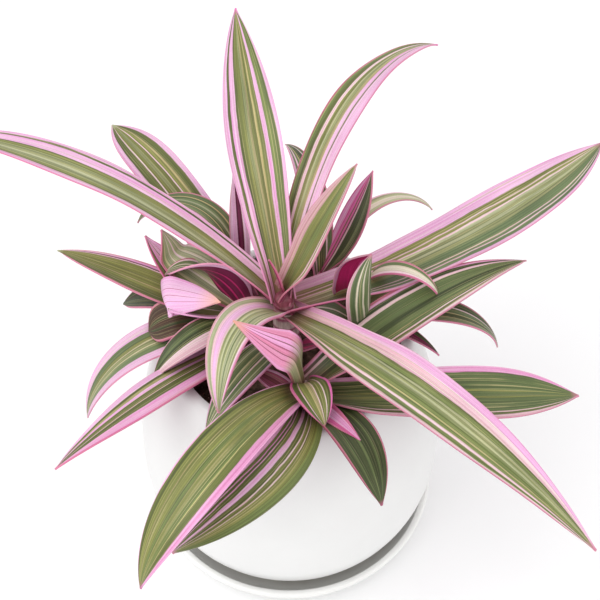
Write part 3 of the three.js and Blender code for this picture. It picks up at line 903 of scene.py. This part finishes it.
def saucerLip():  # an arc of rings over the edge
    first, last, bulge = [np.array(saucerSizes[key]) for key in ("lipFrom", "lipTo", "lipBulge")]
    shares = [i / saucerSizes["lipRings"] for i in range(1, saucerSizes["lipRings"])]
    arc = [first + (last - first) * t + bulge * math.sin(math.pi * t) for t in shares]
    return [tuple(ring) for ring in arc + [last]]


saucerProfile = [*saucerSizes["foot"], *saucerSizes["outside"], *saucerLip()]
saucerProfile += [*saucerSizes["inside"], *saucerSizes["floor"]]
saucer = turnRings("saucer_finished", saucerProfile)
saucer.data.materials.append(glazePaint("saucerGlaze", saucerGlaze))
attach(saucer, "root")
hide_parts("saucer")
print("pot and saucer are made")

# Soil: a turned block with a crumbled top, and loose crumbs on it

soilSizes = {  # mm
    "top": 122.5, "mound": 3, "moundRadius": 54, "edge": 54.2, "topRings": 22,
    "potGap": 0.3, "cornerGap": 0.6, "sideZ": (30, 46, 66, 86, 106, 118),
    "crumbleFromZ": 122.2, "crumbleRadius": 52.5, "crumble": 3.2, "crumbleLevel": 0.62,
    "clod": 6, "clodDetail": 4,
}
crumbSizes = {  # mm, and turns in radians
    "count": 420, "reach": 52, "radius": 1, "shape": (1.5, 1.1, 0.8), "rough": 0.3, "lift": 0.2,
    "turn": (0.6, 0.6, 6.28), "smallest": 0.5, "spread": 1.1, "seed": 11, "roughSeed": 4,
}


def soilHeight(radius):
    return soilSizes["top"] + soilSizes["mound"] * (1 - (radius / soilSizes["moundRadius"]) ** 2)


def onSoilTop(point):
    reach = math.hypot(point.x, point.y)
    return point.z > soilSizes["crumbleFromZ"] * mm and reach < soilSizes["crumbleRadius"] * mm


gap, cornerGap = soilSizes["potGap"], soilSizes["cornerGap"]
soilProfile = [
    ringAt(potSizes["floorEdgeZ"], potSizes["floorWall"] + cornerGap, potSizes["floorZ"] + gap),
    ringAt(potSizes["cornerZ"], potSizes["cornerWall"] + cornerGap, potSizes["cornerZ"] + gap),
]
soilProfile += [ringAt(z, potSizes["wall"] + gap) for z in soilSizes["sideZ"]]
topRadii = [soilSizes["edge"] * (1 - i / soilSizes["topRings"]) for i in range(soilSizes["topRings"])]
soilProfile += [(radius, soilHeight(radius)) for radius in topRadii]
soil = turnRings("soil_finished", soilProfile)
deselectAll()
soil.select_set(True)
bpy.context.view_layer.objects.active = soil
clods = bpy.data.textures.new("clods", "CLOUDS")
clods.noise_scale = soilSizes["clod"] * mm
clods.noise_depth = soilSizes["clodDetail"]
topGroup = soil.vertex_groups.new(name="top")
topGroup.add([v.index for v in soil.data.vertices if onSoilTop(v.co)], 1, "ADD")
crumble = soil.modifiers.new("crumble", "DISPLACE")
crumble.texture = clods
crumble.strength = soilSizes["crumble"] * mm
crumble.mid_level = soilSizes["crumbleLevel"]
crumble.direction = "Z"
crumble.vertex_group = "top"
applyAll(soil)

earthLook = {
    "specular": 0.2, "roughness": 0.95, "bump": 0.9, "bumpDepth": 1,
    "clump": 260, "fleck": 900, "fleckFrom": 0.68, "fleckSteep": 12,
    "stops": [(0.3, (0.02, 0.013, 0.009, 1)), (0.52, (0.1, 0.062, 0.042, 1)),
              (0.75, (0.24, 0.16, 0.11, 1))],
    "fleckColor": (0.34, 0.26, 0.18, 1),
}


def earthPaint():
    material, tree, shader = newPaint("darkSoil", earthLook["specular"])
    shader.inputs["Roughness"].default_value = earthLook["roughness"]
    where = objectPlace(tree)
    clump = noiseAt(tree, where, earthLook["clump"], detail=5, roughness=0.65)
    base = ramp(tree, clump, earthLook["stops"])
    flecks = noiseAt(tree, where, earthLook["fleck"])
    flecks = fadeIn(tree, flecks, earthLook["fleckFrom"], earthLook["fleckSteep"])
    tree.links.new(mixColor(tree, flecks, base, earthLook["fleckColor"]), shader.inputs["Base Color"])
    addBump(tree, shader, clump, earthLook["bump"], earthLook["bumpDepth"])
    return material


deselectAll()
bpy.ops.mesh.primitive_ico_sphere_add(subdivisions=1, radius=crumbSizes["radius"] * mm)
crumbs = bpy.context.object
crumbs.name = "soil_crumbs"
bpy.ops.object.mode_set(mode="EDIT")
bpy.ops.mesh.select_all(action="SELECT")
bpy.ops.transform.resize(value=crumbSizes["shape"])
bpy.ops.transform.vertex_random(offset=crumbSizes["rough"] * mm, seed=crumbSizes["roughSeed"])
bpy.ops.object.mode_set(mode="OBJECT")
crumbCopies = [crumbs]
for i in range(crumbSizes["count"] - 1):
    crumb = crumbs.copy()
    crumb.data = crumbs.data.copy()
    bpy.context.collection.objects.link(crumb)
    crumbCopies.append(crumb)
rng = np.random.default_rng(crumbSizes["seed"])
for crumb in crumbCopies:
    reach, angle = crumbSizes["reach"] * math.sqrt(rng.random()), rng.random() * 2 * math.pi
    height = soilHeight(reach) + crumbSizes["lift"]
    crumb.location = (reach * math.cos(angle) * mm, reach * math.sin(angle) * mm, height * mm)
    crumb.rotation_euler = rng.random(3) * crumbSizes["turn"]
    crumb.scale = [crumbSizes["smallest"] + crumbSizes["spread"] * rng.random()] * 3
    crumb.select_set(True)
bpy.context.view_layer.objects.active = crumbs
bpy.ops.object.transform_apply(location=True, rotation=True, scale=True)
bpy.ops.object.join()
soilPaint = earthPaint()
for piece in (soil, crumbs):
    piece.data.materials.clear()
    piece.data.materials.append(soilPaint)
    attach(piece, "root")
    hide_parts("soil")
print("soil is made")

# Stems: ringed stalks that stand in the soil

stemSizes = {  # mm
    "footZ": 103.5, "rowHeight": 0.7, "sides": 28, "ringGap": 7, "ringDepth": 0.55, "ribs": 3,
    "ribDepth": 0.25, "inset": 0.1, "capHeight": 2.2, "capShare": 0.8, "smoothAngle": 50,
}
stemLook = {
    "specular": 0.4, "coat": 0.05, "roughness": 0.5, "bump": 0.4, "bumpDepth": 0.5,
    "fibreAcross": 700, "fibreAlong": 40, "streaks": 0.7,
    "crownZ": 158, "crownSteep": 160, "crownTone": "wine",  # mm, above the leaves' feet
    "ringStops": [(0, "wine"), (0.14, "rose"), (0.3, "husk"), (0.8, "huskShade"), (1, "rose")],
    "streakStops": [(0.35, (0.55, 0.45, 0.45, 1)), (0.65, (1, 1, 1, 1))],
}


def stemPaint():
    material, tree, shader = newPaint("stemSheath", stemLook["specular"], stemLook["coat"])
    shader.inputs["Roughness"].default_value = stemLook["roughness"]
    sides = splitVector(tree, objectPlace(tree))
    z = sides[2]
    scales = (stemLook["fibreAcross"], stemLook["fibreAcross"], stemLook["fibreAlong"])
    stretched = [times(tree, side, scale) for side, scale in zip(sides, scales)]
    fibre = noiseAt(tree, joinVector(tree, *stretched), 1, detail=3, roughness=0.6)
    ring = mathNode(tree, "FRACT", times(tree, z, 1 / (stemSizes["ringGap"] * mm)))
    base = ramp(tree, ring, [(place, linear(tone)) for place, tone in stemLook["ringStops"]])
    crown = fadeIn(tree, z, stemLook["crownZ"] * mm, stemLook["crownSteep"])
    base = mixColor(tree, crown, base, linear(stemLook["crownTone"]))
    streak = ramp(tree, fibre, stemLook["streakStops"])
    color = mixColor(tree, stemLook["streaks"], base, streak, "MULTIPLY")
    tree.links.new(color, shader.inputs["Base Color"])
    addBump(tree, shader, fibre, stemLook["bump"], stemLook["bumpDepth"])
    return material


def stalkPoint(stem, point):  # a place on the unit cylinder, moved onto the ringed and ribbed stalk
    bottom, top, foot = stemSizes["footZ"], stem["top"][2], stem["foot"][2]
    z = bottom + (point.z + 0.5) * (top - bottom)
    height = max(0, (z - foot) / (top - foot))
    phase = (z / stemSizes["ringGap"]) % 1
    ring = stemSizes["ringDepth"] * (1 - phase) ** 2
    rib = stemSizes["ribDepth"] * math.sin(stemSizes["ribs"] * math.atan2(point.y, point.x) + z)
    taper = (stem["topRadius"] - stem["radius"]) * height
    radius = stem["radius"] + taper + ring + rib - stemSizes["inset"]
    radius *= math.sqrt(1 - stemSizes["capShare"] * max(0, 1 - (top - z) / stemSizes["capHeight"]) ** 2)
    middle = stemPoint(stem, z)
    return (middle[0] + point.x * radius) * mm, (middle[1] + point.y * radius) * mm, z * mm


sheathPaint = stemPaint()
for stemName, stem in stems.items():
    rows = int((stem["top"][2] - stemSizes["footZ"]) / stemSizes["rowHeight"])
    deselectAll()
    bpy.ops.mesh.primitive_cylinder_add(vertices=stemSizes["sides"], radius=1, depth=1)
    piece = bpy.context.object
    piece.name = "stalk_" + stemName
    bpy.ops.object.mode_set(mode="EDIT")
    cuts = [i / rows - 0.5 for i in range(1, rows)]
    for place in [0] + [cut for cut in cuts if abs(cut) >= 0.5 / rows]:  # one cut is always at mid height
        bpy.ops.mesh.select_all(action="SELECT")
        bpy.ops.mesh.bisect(plane_co=(0, 0, place), plane_no=(0, 0, 1))
    bpy.ops.object.mode_set(mode="OBJECT")
    for v in piece.data.vertices:
        v.co = stalkPoint(stem, v.co)
    deselectAll()
    piece.select_set(True)
    bpy.context.view_layer.objects.active = piece
    bpy.ops.object.shade_smooth_by_angle(angle=math.radians(stemSizes["smoothAngle"]))
    piece.data.materials.clear()
    piece.data.materials.append(sheathPaint)
    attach(piece, "root")
    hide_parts("stem_" + stemName)
print("stems are made")
